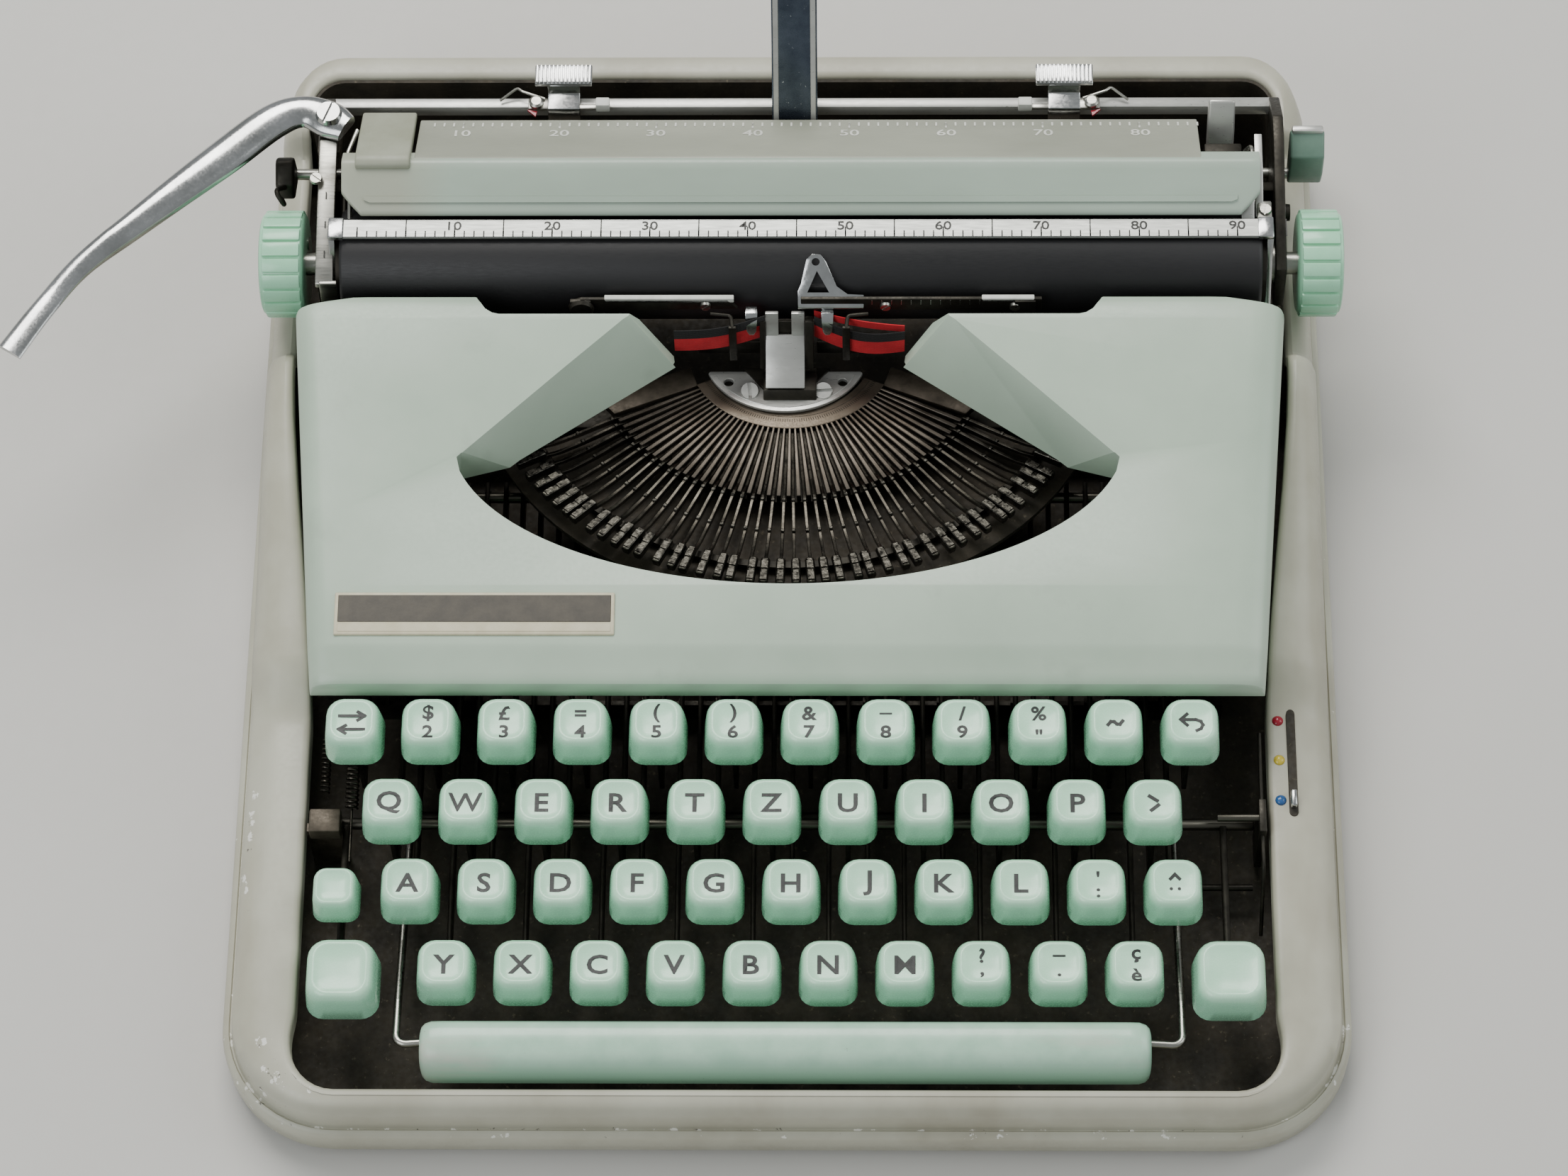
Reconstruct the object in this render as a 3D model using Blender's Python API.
"""A flat portable typewriter, late 1960s style.

Machine coordinates are in millimetres: X to the typist's right, Y away from the
typist, Z up, with the case centred on X = Y = 0 and the feet standing on Z = 0.
The root empty shifts the machine so that the whole object's box is centred on
the world origin, standing on Z = 0.
"""

from math import cos, pi, radians, sin

import bmesh
import bpy
from mathutils import Matrix, Vector

MM = 0.001

# ---- driving dimensions, millimetres ---------------------------------------
CASE_WIDTH = 283.0
CASE_DEPTH = 304.0
CASE_CORNER_FRONT = 30.0
CASE_CORNER_REAR = 20.0
FOOT_HEIGHT = 3.0
FOOT_RADIUS = 7.0
SKIN = 1.8
RIM_FRONT_Z = 23.0
RIM_COVER_Z = 42.0
RIM_CARRIAGE_Z = 32.0
RIM_REAR_Z = 39.0
RIM_SIDE_WIDTH = 19.5
RIM_SIDE_WIDTH_REAR = 11.0
RIM_FRONT_WIDTH = 9.0
RIM_REAR_WIDTH = 8.5
FLOOR_TOP = 4.2

COVER_FRONT_Y = -45.5
COVER_REAR_Y = 61.4
COVER_HALF_FRONT = 120.3
COVER_HALF_REAR = 128.6
COVER_SKIN = 2.0

KEY_PITCH = 19.05
KEY_SIZE = 14.8
KEY_HEIGHT = 11.0
KEY_PIVOT_Y = 25.0
KEY_PIVOT_Z = 18.0
LEVER_THICK = 1.2
ROW_Y = (-56.4, -75.4, -94.3, -113.5)
ROW_TOP_Z = (52.0, 45.5, 39.0, 32.5)
ROW_FIRST_X = (-108.4, -98.8, -93.9, -84.6)
SHIFT_ROD_Y = -71.5
SHIFT_ROD_Z = 22.6
SPACE_ROD_Y = -62.0
SPACE_ROD_Z = 6.4
SPACE_HALF = 90.5
SPACE_ARM_LEFT = -97.0
SPACE_ARM_RIGHT = 98.6

FAN_Y = 63.0
FAN_Z = 28.6
FAN_TILT = 13.5
FAN_HALF_ANGLE = 64.0
FAN_RADIUS = 82.0

CARRIAGE_X = 2.8
PLATEN_Y = 77.7
PLATEN_Z = 50.0
PLATEN_RADIUS = 14.5
PLATEN_HALF = 120.0
KNOB_RADIUS = 14.0
KNOB_WIDTH = 11.3
KNOB_IN = 130.0
SHAFT_RADIUS = 3.0
END_PLATE_IN = 123.9
END_PLATE_OUT = 126.7
BAIL_PIVOT_Y = 66.0
BAIL_PIVOT_Z = 42.0
LEVER_PIVOT_X = -121.1
LEVER_PIVOT_Y = 111.2
RAIL_Y = 122.8
RAIL_Z = 56.0
SUPPORT_LEAN = 58.0
SUPPORT_LENGTH = 72.0
SUPPORT_Y = 116.6
SUPPORT_Z = 60.0
RELEASE_Y = 101.0
RELEASE_Z = 50.0
WING_Y = 108.0
WING_Z = 46.0
SELECTOR_X = 128.1

# the whole object's box in machine coordinates, which the root empty centres
BOX_CENTRE_X = -29.96
BOX_CENTRE_Y = 1.72

ROW_NAMES = (
    ("2", "3", "4", "5", "6", "7", "8", "9", "percent", "tilde"),
    ("Q", "W", "E", "R", "T", "Z", "U", "I", "O", "P", "accent"),
    ("A", "S", "D", "F", "G", "H", "J", "K", "L", "colon", "diaeresis"),
    ("Y", "X", "C", "V", "B", "N", "M", "comma", "stop", "cedilla"),
)


def clear_scene():
    for obj in list(bpy.data.objects):
        bpy.data.objects.remove(obj, do_unlink=True)


def linear(hex_colour):
    out = []
    for i in (0, 2, 4):
        c = int(hex_colour[i:i + 2], 16) / 255
        out.append(c / 12.92 if c <= 0.04045 else ((c + 0.055) / 1.055) ** 2.4)
    return (*out, 1.0)


def material(name, colour, roughness, metallic=0.0):
    mat = bpy.data.materials.get(name) or bpy.data.materials.new(name)
    mat.use_nodes = True
    shader = mat.node_tree.nodes["Principled BSDF"]
    shader.inputs["Base Color"].default_value = linear(colour)
    shader.inputs["Roughness"].default_value = roughness
    shader.inputs["Metallic"].default_value = metallic
    mat.diffuse_color = linear(colour)
    return mat


def empty(name, x, y, z, parent=None, at=(0, 0, 0)):
    obj = bpy.data.objects.new(name, None)
    obj.location = Vector((x - at[0], y - at[1], z - at[2])) * MM
    obj.parent = parent
    obj.empty_display_size = 0.01
    bpy.context.scene.collection.objects.link(obj)
    return obj


def mesh_from(name, vertices, faces):
    mesh = bpy.data.meshes.new(name)
    mesh.from_pydata([Vector(v) * MM for v in vertices], [], faces)
    work = bmesh.new()
    work.from_mesh(mesh)
    bmesh.ops.recalc_face_normals(work, faces=work.faces)
    work.to_mesh(mesh)
    work.free()
    return mesh


def box(x0, x1, y0, y1, z0, z1):
    vertices = [(x, y, z) for z in (z0, z1) for y in (y0, y1) for x in (x0, x1)]
    faces = [(0, 2, 3, 1), (4, 5, 7, 6), (0, 1, 5, 4), (2, 6, 7, 3), (0, 4, 6, 2), (1, 3, 7, 5)]
    return mesh_from("box", vertices, faces)


def prism(outline, low, high, axis="X"):
    """A closed outline extruded: (y, z) points along X, (x, y) points along Z."""
    n = len(outline)
    if axis == "X":
        vertices = [(end, a, b) for end in (low, high) for a, b in outline]
    else:
        vertices = [(a, b, end) for end in (low, high) for a, b in outline]
    faces = [tuple(range(n)), tuple(range(n, 2 * n))]
    faces += [(i, (i + 1) % n, n + (i + 1) % n, n + i) for i in range(n)]
    return mesh_from("prism", vertices, faces)


def loft(rings, closed=False):
    """Rings of equal length joined in order; capped at both ends unless closed."""
    n = len(rings[0])
    vertices = [v for ring in rings for v in ring]
    faces = []
    count = len(rings)
    for k in range(count if closed else count - 1):
        a, b = k * n, (k + 1) % count * n
        faces += [(a + i, a + (i + 1) % n, b + (i + 1) % n, b + i) for i in range(n)]
    if not closed:
        faces += [tuple(range(n)), tuple(range((count - 1) * n, count * n))]
    return mesh_from("loft", vertices, faces)


def rod(radius, low, high, y, z, sides=16, axis="X"):
    ring = [(radius * cos(2 * pi * i / sides), radius * sin(2 * pi * i / sides))
            for i in range(sides)]
    if axis == "X":
        return prism([(y + a, z + b) for a, b in ring], low, high)
    return prism([(y + a, z + b) for a, b in ring], low, high, "Z")


def rounded(half_x, half_y, radius, cx=0.0, cy=0.0, steps=3):
    points = []
    for qx, qy, start in ((1, 1, 0), (-1, 1, 90), (-1, -1, 180), (1, -1, 270)):
        for i in range(steps):
            t = radians(start + 90 * i / (steps - 1))
            points.append((cx + qx * (half_x - radius) + radius * cos(t),
                           cy + qy * (half_y - radius) + radius * sin(t)))
    return points


def boolean(mesh, other, operation):
    """The exact Boolean of two meshes, as a new mesh."""
    scene = bpy.context.scene.collection
    first = bpy.data.objects.new("boolean_a", mesh)
    second = bpy.data.objects.new("boolean_b", other)
    scene.objects.link(first)
    scene.objects.link(second)
    step = first.modifiers.new("step", "BOOLEAN")
    step.solver = "EXACT"
    step.operation = operation
    step.object = second
    graph = bpy.context.evaluated_depsgraph_get()
    result = bpy.data.meshes.new_from_object(first.evaluated_get(graph))
    bpy.data.objects.remove(first)
    bpy.data.objects.remove(second)
    return result


def union(mesh, *others):
    for other in others:
        mesh = boolean(mesh, other, "UNION")
    return mesh


def cut(mesh, *others):
    for other in others:
        mesh = boolean(mesh, other, "DIFFERENCE")
    return mesh


def place(name, mesh, mat, parent, origin=(0, 0, 0), smooth=None):
    """An object whose mesh, drawn in machine coordinates, hangs from an origin."""
    mesh = mesh.copy()
    mesh.transform(Matrix.Translation(-Vector(origin) * MM))
    mesh.name = name
    mesh.materials.clear()
    mesh.materials.append(mat)
    for face in mesh.polygons:
        face.material_index = 0
    if smooth:
        mesh.shade_smooth()
        mesh.set_sharp_from_angle(angle=radians(smooth))
    obj = bpy.data.objects.new(name, mesh)
    obj.parent = parent
    bpy.context.scene.collection.objects.link(obj)
    return obj


# ---- case ------------------------------------------------------------------
def rim_height(y):
    """Top of the case wall beside the point y, along the sides."""
    points = ((-152, RIM_FRONT_Z), (-40, RIM_FRONT_Z + 3), (-29, 32), (53, RIM_COVER_Z),
              (59, RIM_COVER_Z - 3), (61.5, RIM_CARRIAGE_Z), (121, RIM_CARRIAGE_Z),
              (126, RIM_REAR_Z), (152, RIM_REAR_Z))
    for (y0, h0), (y1, h1) in zip(points, points[1:]):
        if y <= y1:
            return h0 + (h1 - h0) * (y - y0) / (y1 - y0)
    return RIM_REAR_Z


def rim_width(y):
    points = ((-152, RIM_SIDE_WIDTH), (-50, RIM_SIDE_WIDTH), (60, RIM_SIDE_WIDTH_REAR),
              (152, RIM_SIDE_WIDTH_REAR))
    for (y0, w0), (y1, w1) in zip(points, points[1:]):
        if y <= y1:
            return w0 + (w1 - w0) * (y - y0) / (y1 - y0)
    return RIM_SIDE_WIDTH_REAR


def case_stations():
    """(x, y, inward x, inward y, wall width, top height) round the flange."""
    half, deep = CASE_WIDTH / 2, CASE_DEPTH / 2
    rf, rr = CASE_CORNER_FRONT, CASE_CORNER_REAR
    right = []
    for i in range(7):
        t = radians(-90 + 90 * i / 6)
        blend = sin(radians(90 * i / 6)) ** 2
        y = -deep + rf + rf * sin(t)
        width = RIM_FRONT_WIDTH + (RIM_SIDE_WIDTH - RIM_FRONT_WIDTH) * blend
        right.append((half - rf + rf * cos(t), y, -cos(t), -sin(t), width, rim_height(y)))
    for y in (-80, -40, -29, 12, 53, 59, 61.5, 90, 121, 126):
        right.append((half, y, -1, 0, rim_width(y), rim_height(y)))
    for i in range(5):
        t = radians(90 * i / 4)
        blend = sin(radians(90 * i / 4)) ** 2
        y = deep - rr + rr * sin(t)
        width = RIM_SIDE_WIDTH_REAR + (RIM_REAR_WIDTH - RIM_SIDE_WIDTH_REAR) * blend
        right.append((half - rr + rr * cos(t), y, -cos(t), -sin(t), width, RIM_REAR_Z))
    left = [(-x, y, -nx, ny, w, h) for x, y, nx, ny, w, h in reversed(right)]
    return right + left


def case_ring():
    rings = []
    for x, y, nx, ny, w, h in case_stations():
        low = 13.0
        section = [
            (0, FOOT_HEIGHT), (0, 11.0), (1.6, 12.4), (2.4, low),
            (3.0 + 0.08 * w, low + 0.55 * (h - low)), (2.6 + 0.32 * w, h - 0.10 * (h - low)),
            (w - 2.0, h), (w, h - 1.0),
            (w, h - 6.0), (w - SKIN, h - 6.0), (w - SKIN, h - 2.4),
            (3.6 + 0.34 * w, h - 2.6 - 0.08 * (h - low)), (4.4 + 0.08 * w, low + 0.35 * (h - low)),
            (4.2, low - 1.5), (4.2, FOOT_HEIGHT),
        ]
        rings.append([(x + nx * d, y + ny * d, z) for d, z in section])
    return loft(rings, closed=True)


def build_case(parent):
    mesh = case_ring()
    inset = 2.6
    outline = [(x + nx * inset, y + ny * inset) for x, y, nx, ny, _, _ in case_stations()]
    mesh = union(mesh, prism(outline, FOOT_HEIGHT, FLOOR_TOP, "Z"))
    for sx in (-1, 1):
        frame = [(4, FLOOR_TOP - 0.6), (100, FLOOR_TOP - 0.6), (100, 28), (60, 28), (52, 38), (8, 38)]
        inner, outer = sorted((sx * 114.0, sx * 116.0))
        mesh = union(mesh, prism(frame, inner, outer))
    mesh = union(mesh, rod(1.4, -115.0, 115.0, KEY_PIVOT_Y, KEY_PIVOT_Z, 10))
    slot = box(SELECTOR_X - 1.1, SELECTOR_X + 1.1, -70.2, -41.0, 10, 40)
    mesh = cut(mesh, slot)
    for x in (-115, 115):
        for y in (-125, 122):
            mesh = union(mesh, rod(FOOT_RADIUS, 0, FOOT_HEIGHT + 0.5, x, y, 16, "Z"))
    return place("base_case", mesh, material("case_paint", "ACACA0", 0.45), parent, smooth=35)


# ---- top cover -------------------------------------------------------------
def cover_half(y):
    t = (y - COVER_FRONT_Y) / (COVER_REAR_Y - COVER_FRONT_Y)
    return COVER_HALF_FRONT + (COVER_HALF_REAR - COVER_HALF_FRONT) * t


def cover_rings(offset, low, y_extra):
    """Sections across the cover: y, half width, top height, from front to rear."""
    spine = ((COVER_FRONT_Y + offset, 49.0 - offset), (-44.2 + offset, 50.6 - offset),
             (-36.7 + offset, 53.0 - offset), (0, 56.6 - offset), (40, 60.6 - offset),
             (COVER_REAR_Y + y_extra, 62.4 - offset))
    rings = []
    for y, top in spine:
        half = cover_half(y) - offset
        rings.append([(-half, y, low), (-half, y, top - 4), (-half + 3, y, top - 0.8),
                      (-half + 8, y, top), (half - 8, y, top), (half - 3, y, top - 0.8),
                      (half, y, top - 4), (half, y, low)])
    return loft(rings)


def fan_outline(grow, sink):
    """The fan opening from above, left nose to right nose; sink 0 is the lip, 1 the foot of the ramp."""
    head = [(-40.6, 72.0), (-40.8, 57.2 - 1.1 * sink), (-41.2 + 11.7 * sink, 56.4 - 4.9 * sink),
            (-41.8 + 12.8 * sink, 55.1 - 7.0 * sink), (-84.2 + 13.1 * sink, 15.6 + 3.3 * sink),
            (-84.9, 14.6)]
    arc = []
    for i in range(1, 14):
        t = radians(-80.8 + 161.6 * i / 14)
        arc.append((86.0 * sin(t), 20.5 - 40.0 * cos(t)))
    shape = head + arc + [(-x, y) for x, y in reversed(head)]
    out = []
    for x, y in shape:
        dx = x / 90.0
        out.append((x - grow * dx, y - grow * (0.25 if y < 50 else 0.0)
                    + grow * (1.0 if y < 14.5 else 0.0)))
    return out


def fan_solid(grow, z_low, z_high):
    low = [(x, y, z_low) for x, y in fan_outline(grow, 1.0)]
    lip = [(x, y, 56.9 + 0.1 * y) for x, y in fan_outline(grow, 0.0)]
    high = [(x, y, z_high) for x, y in fan_outline(grow, 0.0)]
    mesh = loft([low, lip, high])
    work = bmesh.new()
    work.from_mesh(mesh)
    bmesh.ops.triangulate(work, faces=work.faces)
    work.to_mesh(mesh)
    work.free()
    return mesh


def build_cover(parent):
    mesh = cover_rings(0, 30.0, 0.0)
    hollow = cover_rings(COVER_SKIN, 20.0, 8.0)
    keep = fan_solid(-2.2, 46.0, 70.0)
    hollow = cut(hollow, keep)
    mesh = cut(mesh, hollow)
    mesh = cut(mesh, fan_solid(0.0, 45.0, 76.0))
    # the front skirt ends above the number row, the sides go on down inside the case
    mesh = cut(mesh, box(-140, 140, -60, -38.0, 20, 43.5))
    # the rear edge steps forward between the two wings
    step = [(-84.0, 66), (-79.2, 57.8), (-76.0, 55.4), (76.0, 55.4), (79.2, 57.8), (84.0, 66)]
    mesh = cut(mesh, prism(step, 20, 80, "Z"))
    for s in (-1, 1):
        corner = [(s * 92, 70), (s * 92, 61.6), (s * 126, 57.2), (s * 140, 57), (s * 140, 70)]
        mesh = cut(mesh, prism(corner, 20, 80, "Z"))
    mesh = cut(mesh, fan_sweep([(9, -14), (83.2, -14), (83.2, 4.4), (9, 4.4)], 67.0))
    return place("top_cover", mesh, material("cover_paint", "AEBBB0", 0.4), parent, smooth=35)


# ---- type basket -----------------------------------------------------------
def fan_point(radius, angle, height):
    """A point of the tilted fan plane in machine coordinates."""
    x = radius * sin(angle)
    forward = radius * cos(angle)
    tilt = radians(FAN_TILT)
    return (x, FAN_Y - forward * cos(tilt) - height * sin(tilt),
            FAN_Z + forward * sin(tilt) + height * cos(tilt) * 1.0)


def fan_sweep(section, half_angle):
    """A section of (radius, height) points swept round the fan's centre."""
    rings = []
    for i in range(17):
        t = radians(-half_angle + 2 * half_angle * i / 16)
        rings.append([fan_point(r, t, h) for r, h in section])
    return loft(rings)


def build_basket(parent):
    section = [(9, -8), (50, -8), (51, -3), (75, -3), (76, -4), (FAN_RADIUS, -4),
               (FAN_RADIUS, 3.2), (76, 3.2), (75, 0.6), (51, 0.6), (50, 0), (22, 0), (21.5, 1), (9, 1)]
    mesh = fan_sweep(section, FAN_HALF_ANGLE)
    beam = box(-113.4, 113.4, 44, 57, 13.5, 23.0)
    beam_plate = box(-22, 22, 44.5, 55, 22, 30)
    guide = prism([(52.5, 26), (57.5, 26), (58.0, 40), (61.2, 53.5), (59.6, 54.0), (55.8, 41), (52.5, 34)],
                  -5.3, 5.3)
    mesh = union(mesh, beam, beam_plate, guide)
    mesh = cut(mesh, prism([(-1.2, 57.2), (1.2, 57.2), (1.2, 66), (-1.2, 66)], 47.5, 60, "Z"))
    return place("type_basket", mesh, material("basket_steel", "5A554C", 0.4, 0.9), parent, smooth=35)


# ---- keys ------------------------------------------------------------------
def key_cap(width, depth, height, top_z, x, y, inset=0.9, radius=4.2):
    rings = []
    for z, shrink, r in ((top_z - height, 0.0, radius), (top_z - 2.2, inset, radius),
                         (top_z, inset + 1.1, radius - 0.6)):
        outline = rounded(width / 2 - shrink, depth / 2 - shrink, r, x, y)
        rings.append([(a, b, z) for a, b in outline])
    return loft(rings)


def lever_outline(row):
    """Side view of a key lever: fork round the fulcrum shaft, bar, stem into the cap."""
    y, top = ROW_Y[row], ROW_TOP_Z[row]
    stem = (y - 6.4, y - 2.4) if row == 1 else (y - 2.0, y + 2.0)
    p, z = KEY_PIVOT_Y, KEY_PIVOT_Z
    return [
        (p + 3.4, z + 2.6), (stem[1], z + 2.6), (stem[1], top - KEY_HEIGHT + 2.5),
        (stem[0], top - KEY_HEIGHT + 2.5), (stem[0], z - 2.4), (p + 3.4, z - 2.4),
        (p + 3.4, z - 1.8), (p - 1.9, z - 1.8), (p - 1.9, z + 1.8), (p + 3.4, z + 1.8),
    ]


def key_mesh(row):
    cap = key_cap(KEY_SIZE, KEY_SIZE, KEY_HEIGHT, ROW_TOP_Z[row], 0, ROW_Y[row])
    return union(cap, prism(lever_outline(row), -LEVER_THICK / 2, LEVER_THICK / 2))


def build_keys(parent):
    plastic = material("key_mint", "BDEBD0", 0.35)
    pivot = (0, KEY_PIVOT_Y, KEY_PIVOT_Z)
    for row, names in enumerate(ROW_NAMES):
        mesh = key_mesh(row)
        first = 1 if row == 0 else 0
        extra = ("margin_release_key", "backspace_key") if row == 0 else ()
        for i, name in enumerate(names):
            x = ROW_FIRST_X[row] + KEY_PITCH * (i + first)
            hinge = empty(f"hinge_type_key_{name}", x, *pivot[1:], parent)
            place(f"type_key_{name}", mesh, plastic, hinge, pivot, smooth=35)
        for name, i in zip(extra, (0, 11)):
            hinge = empty(f"hinge_{name}", ROW_FIRST_X[0] + KEY_PITCH * i, *pivot[1:], parent)
            place(name, mesh, plastic, hinge, pivot, smooth=35)


def build_shift(parent):
    pivot = (0, SHIFT_ROD_Y, SHIFT_ROD_Z)
    mesh = rod(1.5, -119.5, 118.0, SHIFT_ROD_Y, SHIFT_ROD_Z, 12)
    for x, cap_x in ((-111.6, -110.2), (110.2, 110.2)):
        arm = [(SHIFT_ROD_Y + 1.2, SHIFT_ROD_Z - 1.2), (SHIFT_ROD_Y + 1.2, SHIFT_ROD_Z + 1.2),
               (-113, SHIFT_ROD_Z + 2.0), (-113, 25.5), (-117, 25.5), (-117, SHIFT_ROD_Z - 2.4)]
        mesh = union(mesh, prism(arm, x - 0.8, x + 0.8))
        mesh = union(mesh, key_cap(18.4, 18.4, KEY_HEIGHT + 0.5, 33.6, cap_x, -115.6, 1.0, 5.0))
    lock = [(-94, 23), (-94, 30), (-97, 30), (-97, 23)]
    mesh = union(mesh, prism(lock, -112.4, -110.8))
    mesh = union(mesh, key_cap(11.8, 12.0, 9.5, 38.5, -112.2, -95.6, 0.6, 3.4))
    hinge = empty("hinge_shift", *pivot, parent)
    place("shift_keys", mesh, material("key_mint", "BDEBD0", 0.35), hinge, pivot, smooth=35)


def build_space(parent):
    pivot = (0, SPACE_ROD_Y, SPACE_ROD_Z)
    sections = []
    for x, s in ((-SPACE_HALF, 0.72), (-SPACE_HALF + 2.5, 1.0), (SPACE_HALF - 2.5, 1.0), (SPACE_HALF, 0.72)):
        ring = [(-126.0, 15.5), (-126.0, 25.5), (-127.4, 27.4), (-134.8, 27.0),
                (-138.0, 24.0), (-139.0, 19.0), (-139.0, 15.5)]
        sections.append([(x, -132.5 + (y + 132.5) * s, 21.0 + (z - 21.0) * s) for y, z in ring])
    mesh = loft(sections)
    wire = 1.1
    for s in (-1, 1):
        x = SPACE_ARM_LEFT if s < 0 else SPACE_ARM_RIGHT
        path = [(x, SPACE_ROD_Y, SPACE_ROD_Z), (x, -66, 8.0), (x, -100, 13.0), (x, -118, 17.5),
                (x, -130.3, 19.0)]
        rings = []
        for k, (px, py, pz) in enumerate(path):
            up = wire * 1.15
            tall = ((-wire, -up), (wire, -up), (wire, up), (-wire, up))
            ring = [(px + a, py, pz + b) for a, b in tall]
            if k == 0:
                ring = [(px + a, py + 1.0, pz + b * 0.8) for a, b in tall]
            rings.append(ring)
        mesh = union(mesh, loft(rings))
        end = sorted((s * (SPACE_HALF - 4), x + s * 1.05))
        mesh = union(mesh, box(*end, -130.2, -128.0, 17.9, 20.1))
    mesh = union(mesh, rod(1.2, SPACE_ARM_LEFT, SPACE_ARM_RIGHT, SPACE_ROD_Y, SPACE_ROD_Z, 10))
    hinge = empty("hinge_space_bar", *pivot, parent)
    place("space_bar", mesh, material("space_mint", "A9D3BC", 0.35), hinge, pivot, smooth=35)


def build_selector(parent):
    x, y, z = SELECTOR_X, -66.0, 26.0
    mesh = box(x - 0.8, x + 0.8, y - 2.4, y + 2.4, 15.0, 27.8)
    mesh = union(mesh, box(x - 2.6, x + 0.8, y - 4, y + 4, 13.0, 15.4))
    slide = empty("slide_colour_selector", x, y, z, parent)
    place("colour_selector", mesh, material("chrome", "D8D8D6", 0.15, 1.0), slide, (x, y, z))


# ---- carriage --------------------------------------------------------------
def build_rail(parent):
    mesh = box(-118, 118, 87.0, 101.5, 29.5, 37.6)
    for x0, x1, plate0, plate1 in ((-57, -51.5, -57, -13.8), (58.5, 64, 3.0, 64)):
        arm = [(90, 29.8), (59.8, 29.8), (59.8, 50), (61.4, 58.6), (62.6, 58.6), (62.4, 50),
               (62.0, 33.0), (90, 33.0)]
        mesh = union(mesh, prism(arm, x0, x1))
        plate = [(60.9, 54.2), (61.5, 58.6), (62.6, 58.6), (62.4, 54.2)]
        mesh = union(mesh, prism(plate, plate0, plate1))
    finger = loft([
        [(3.2, 61.3, 57.4), (18.5, 61.3, 57.4), (18.5, 62.6, 57.0), (3.2, 62.6, 57.0)],
        [(5.0, 65.4, 61.6), (13.5, 65.4, 61.6), (13.5, 66.2, 60.8), (5.0, 66.2, 60.8)],
        [(6.0, 71.4, 65.0), (11.0, 71.4, 65.0), (11.0, 71.6, 64.0), (6.0, 71.6, 64.0)],
    ])
    mesh = union(mesh, finger)
    return place("carriage_rail", mesh, material("rail_steel", "8A8880", 0.35, 0.9), parent,
                 (0, 92, 33))


def build_carriage(parent, origin):
    c = CARRIAGE_X
    body = [(82.0, 67.4), (84.0, 68.6), (94.5, 74.0), (98.4, 71.8), (98.4, 44.4), (103, 44.4),
            (103, 38.2), (94.6, 38.2), (94.6, 71.2), (84.6, 66.6), (82.4, 66.0)]
    mesh = prism(body, c - 119.6, c + 119.6)
    rear = [(94.0, 73.6), (95.2, 73.7), (114.5, 62.6), (113.8, 60.9), (97.0, 70.4), (94.0, 70.6)]
    mesh = union(mesh, prism(rear, -97.7, 107.0))
    block = [(92.0, 72.4), (92.0, 74.6), (95.0, 75.4), (116.4, 63.6), (115.6, 61.8), (97.0, 70.4)]
    mesh = union(mesh, prism(block, -113.0, -98.7))
    tie = [(95.2, 40), (103, 40), (103, 44), (97.8, 46), (97.8, 60), (95.2, 60)]
    mesh = union(mesh, prism(tie, c - END_PLATE_IN - 1, c + END_PLATE_IN + 1))
    plate = [(69.0, 42.5), (76, 40.0), (104, 38.4), (112, 44), (124.3, 54.2), (124.3, 58.0),
             (113.5, 65.8), (106.0, 65.8), (71.0, 57.5)]
    for s in (-1, 1):
        span = sorted((c + s * END_PLATE_IN, c + s * END_PLATE_OUT))
        side = prism(plate, *span)
        hole = rod(SHAFT_RADIUS + 0.4, c + s * 125 - 5, c + s * 125 + 5, PLATEN_Y, PLATEN_Z, 16)
        wing = rod(2.0, c + s * 125 - 5, c + s * 125 + 5, WING_Y, WING_Z, 10)
        mesh = union(mesh, cut(side, hole, wing))
    rail = [(RAIL_Y - 1.5, RAIL_Z - 2), (RAIL_Y + 1.5, RAIL_Z - 2), (RAIL_Y + 1.5, RAIL_Z + 2),
            (RAIL_Y - 1.5, RAIL_Z + 2)]
    mesh = union(mesh, prism(rail, c - END_PLATE_IN - 1, c + END_PLATE_IN + 1))
    lug = [(112.8, 62.4), (110.0, 64.0), (109.0, 57.4), (111.6, 55.4)]
    mesh = union(mesh, prism(lug, -5, 7))
    return place("carriage_frame", mesh, material("carriage_paint", "A6B3A8", 0.4), parent, origin,
                 smooth=35)


def build_platen(parent):
    c = CARRIAGE_X
    pivot = (c, PLATEN_Y, PLATEN_Z)
    profile = [
        (-KNOB_IN - KNOB_WIDTH, KNOB_RADIUS - 1.2), (-KNOB_IN - KNOB_WIDTH + 1, KNOB_RADIUS),
        (-KNOB_IN, KNOB_RADIUS), (-KNOB_IN, SHAFT_RADIUS), (-PLATEN_HALF, SHAFT_RADIUS),
        (-PLATEN_HALF, PLATEN_RADIUS), (PLATEN_HALF, PLATEN_RADIUS), (PLATEN_HALF, SHAFT_RADIUS),
        (KNOB_IN, SHAFT_RADIUS), (KNOB_IN, KNOB_RADIUS), (KNOB_IN + KNOB_WIDTH - 1, KNOB_RADIUS),
        (KNOB_IN + KNOB_WIDTH, KNOB_RADIUS - 1.2),
    ]
    sides = 32
    rings = []
    for x, r in profile:
        rings.append([(c + x, PLATEN_Y + r * cos(2 * pi * i / sides),
                       PLATEN_Z + r * sin(2 * pi * i / sides)) for i in range(sides)])
    mesh = loft(rings)
    turn = empty("hinge_platen", 0, 0, 0, parent)
    turn.location = (Vector(pivot) - Vector(CARRIAGE_ORIGIN)) * MM
    place("platen", mesh, material("platen_rubber", "303030", 0.6), turn, pivot, smooth=40)


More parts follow.
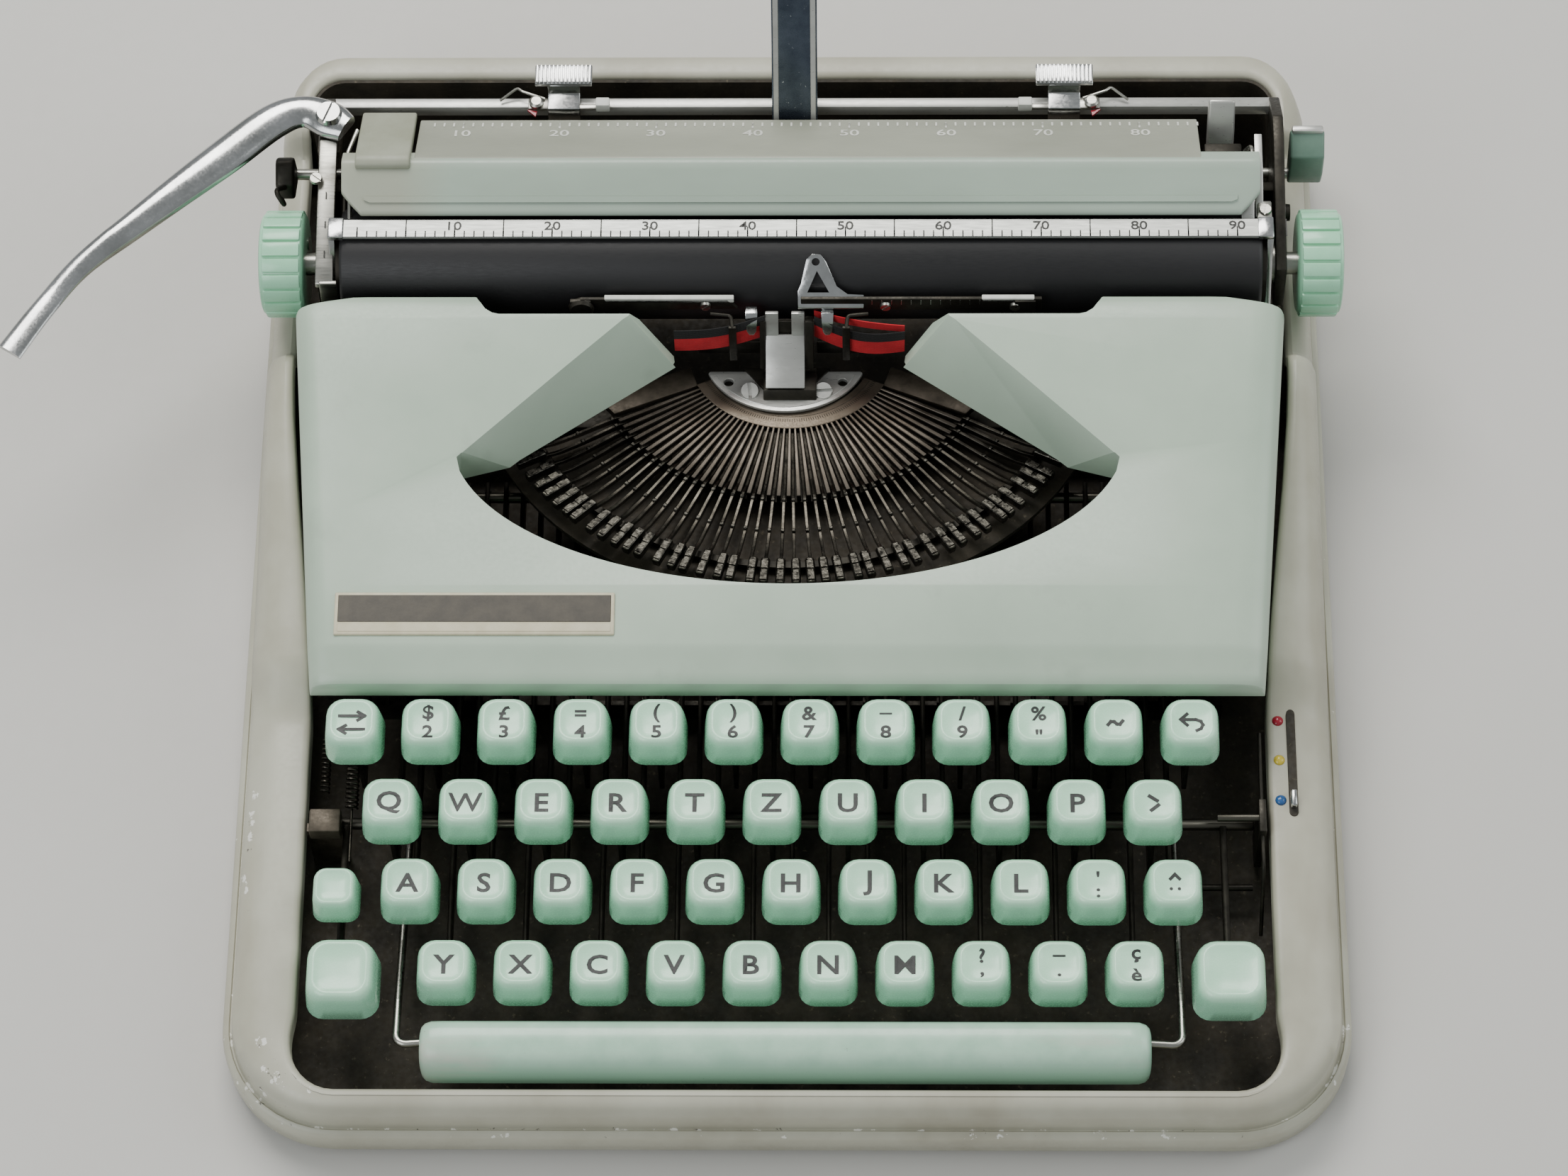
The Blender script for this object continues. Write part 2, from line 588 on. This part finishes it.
def build_bail(parent):
    c = CARRIAGE_X
    pivot = (c, BAIL_PIVOT_Y, BAIL_PIVOT_Z)
    bar = [(75.8, 65.2), (81.6, 65.2), (81.6, 66.2), (75.8, 66.2)]
    mesh = prism(bar, c - 122.6, c + 122.6)
    arm = [(63.8, 40.0), (68.0, 40.0), (71.4, 47.0), (76.6, 56.5), (81.4, 65.3), (81.4, 66.1),
           (76.2, 66.1), (73.4, 59.5), (63.8, 44.0)]
    for s in (-1, 1):
        span = sorted((c + s * 121.2, c + s * 122.9))
        mesh = union(mesh, prism(arm, *span))
    hinge = empty("hinge_paper_bail", *pivot, parent, CARRIAGE_ORIGIN)
    place("paper_bail", mesh, material("chrome", "D8D8D6", 0.15, 1.0), hinge, pivot)


def build_return_lever(parent):
    pivot = (LEVER_PIVOT_X, LEVER_PIVOT_Y, 68.5)
    path = ((-116.5, 108.0, 4.2, 0.0), (-121.1, 111.2, 5.2, 0.0), (-128.0, 114.2, 4.2, 0.0),
            (-136.0, 110.5, 5.0, 0.0), (-160.0, 89.0, 4.6, -0.6), (-184.0, 67.0, 3.2, -1.6),
            (-193.0, 55.0, 3.2, -2.6), (-201.0, 42.6, 3.6, -3.6))
    rings = []
    for i, (x, y, w, drop) in enumerate(path):
        a = path[max(i - 1, 0)]
        b = path[min(i + 1, len(path) - 1)]
        along = Vector((b[0] - a[0], b[1] - a[1], 0)).normalized()
        side = Vector((-along.y, along.x, 0)) * w
        low, high = 66.3 + drop, 70.6 + drop
        rings.append([(x - side.x, y - side.y, low), (x + side.x, y + side.y, low),
                      (x + side.x * 0.8, y + side.y * 0.8, high), (x - side.x * 0.8, y - side.y * 0.8, high)])
    hinge = empty("hinge_return_lever", *pivot, parent, CARRIAGE_ORIGIN)
    place("return_lever", loft(rings), material("chrome", "D8D8D6", 0.15, 1.0), hinge, pivot, smooth=30)


def build_support(parent):
    pivot = (1.1, SUPPORT_Y, SUPPORT_Z)
    outline = rounded(6.0, SUPPORT_LENGTH / 2 + 3, 2.5, 0, SUPPORT_LENGTH / 2 - 3)
    flat = prism(outline, -0.8, 0.8, "Z")
    flat.transform(Matrix.Translation(Vector(pivot) * MM) @ Matrix.Rotation(radians(SUPPORT_LEAN), 4, "X"))
    hinge = empty("hinge_paper_support", *pivot, parent, CARRIAGE_ORIGIN)
    place("paper_support", flat, material("chrome", "D8D8D6", 0.15, 1.0), hinge, pivot)


def build_release(parent):
    x = 113.4
    pivot = (x, RELEASE_Y, RELEASE_Z)
    side = [(RELEASE_Y - 1.8, RELEASE_Z - 1.8), (RELEASE_Y + 2.0, RELEASE_Z - 1.8), (113.5, 54.4),
            (116.6, 58.5), (117.4, 67.2), (116.2, 68.4), (114.4, 67.6), (113.8, 60.0),
            (110.8, 56.6), (RELEASE_Y - 1.8, RELEASE_Z + 2.0)]
    hinge = empty("hinge_paper_release", *pivot, parent, CARRIAGE_ORIGIN)
    place("paper_release_lever", prism(side, x - 3.6, x + 3.6),
          material("chrome", "D8D8D6", 0.15, 1.0), hinge, pivot)


def build_wings(parent):
    c = CARRIAGE_X
    pivot = (c, WING_Y, WING_Z)
    mesh = rod(1.5, c - 137.5, c + 134.0, WING_Y, WING_Z, 10)
    right = [(WING_Y - 2, 44.2), (WING_Y + 2, 44.2), (WING_Y + 5.5, 58.8), (WING_Y + 3.4, 61.4),
             (WING_Y - 4.8, 56.2), (WING_Y - 6.0, 50)]
    left = [(WING_Y - 2, 44.2), (WING_Y + 2, 44.2), (WING_Y + 1.0, 53.6), (WING_Y - 2.0, 55.0),
            (WING_Y - 7.5, 52.0), (WING_Y - 8.5, 46.6)]
    mesh = union(mesh, prism(right, c + 129.0, c + 138.0), prism(left, c - 139.5, c - 134.5))
    hinge = empty("hinge_carriage_release", *pivot, parent, CARRIAGE_ORIGIN)
    place("carriage_release", mesh, material("release_green", "8DA79A", 0.4), hinge, pivot)


def build_stops(parent):
    for name, x in (("margin_stop_left", -60.3), ("margin_stop_right", 72.4)):
        pivot = (x, RAIL_Y, RAIL_Z)
        clip = [(RAIL_Y - 1.85, RAIL_Z - 1.6), (RAIL_Y - 3.2, RAIL_Z - 1.6), (RAIL_Y - 3.2, RAIL_Z + 3.8),
                (RAIL_Y + 1.8, RAIL_Z + 3.8), (RAIL_Y + 2.6, RAIL_Z + 7.0), (RAIL_Y + 3.4, RAIL_Z + 7.0),
                (RAIL_Y + 3.2, RAIL_Z - 1.6), (RAIL_Y + 1.85, RAIL_Z - 1.6), (RAIL_Y + 1.85, RAIL_Z + 2.35),
                (RAIL_Y - 1.85, RAIL_Z + 2.35)]
        mesh = prism(clip, x - 4.3, x + 4.3)
        tab = [(RAIL_Y + 2.4, RAIL_Z + 6.0), (RAIL_Y + 8.2, RAIL_Z + 6.6), (RAIL_Y + 8.4, RAIL_Z + 8.0),
               (RAIL_Y + 2.4, RAIL_Z + 7.6)]
        mesh = union(mesh, prism(tab, x - 7.6, x + 7.6))
        slide = empty("slide_" + name, *pivot, parent, CARRIAGE_ORIGIN)
        place(name, mesh, material("chrome", "D8D8D6", 0.15, 1.0), slide, pivot)


CARRIAGE_ORIGIN = (CARRIAGE_X, 94.0, 41.0)

clear_scene()
machine = empty("machine", -BOX_CENTRE_X, -BOX_CENTRE_Y, 0)
build_case(machine)
build_cover(machine)
build_basket(machine)
build_keys(machine)
build_shift(machine)
build_space(machine)
build_selector(machine)
lift = empty("slide_carriage_lift", 0, 92, 33, machine)
build_rail(lift)
travel = empty("slide_carriage", *CARRIAGE_ORIGIN, lift, (0, 92, 33))
build_carriage(travel, CARRIAGE_ORIGIN)
build_platen(travel)
build_bail(travel)
build_return_lever(travel)
build_support(travel)
build_release(travel)
build_wings(travel)
build_stops(travel)
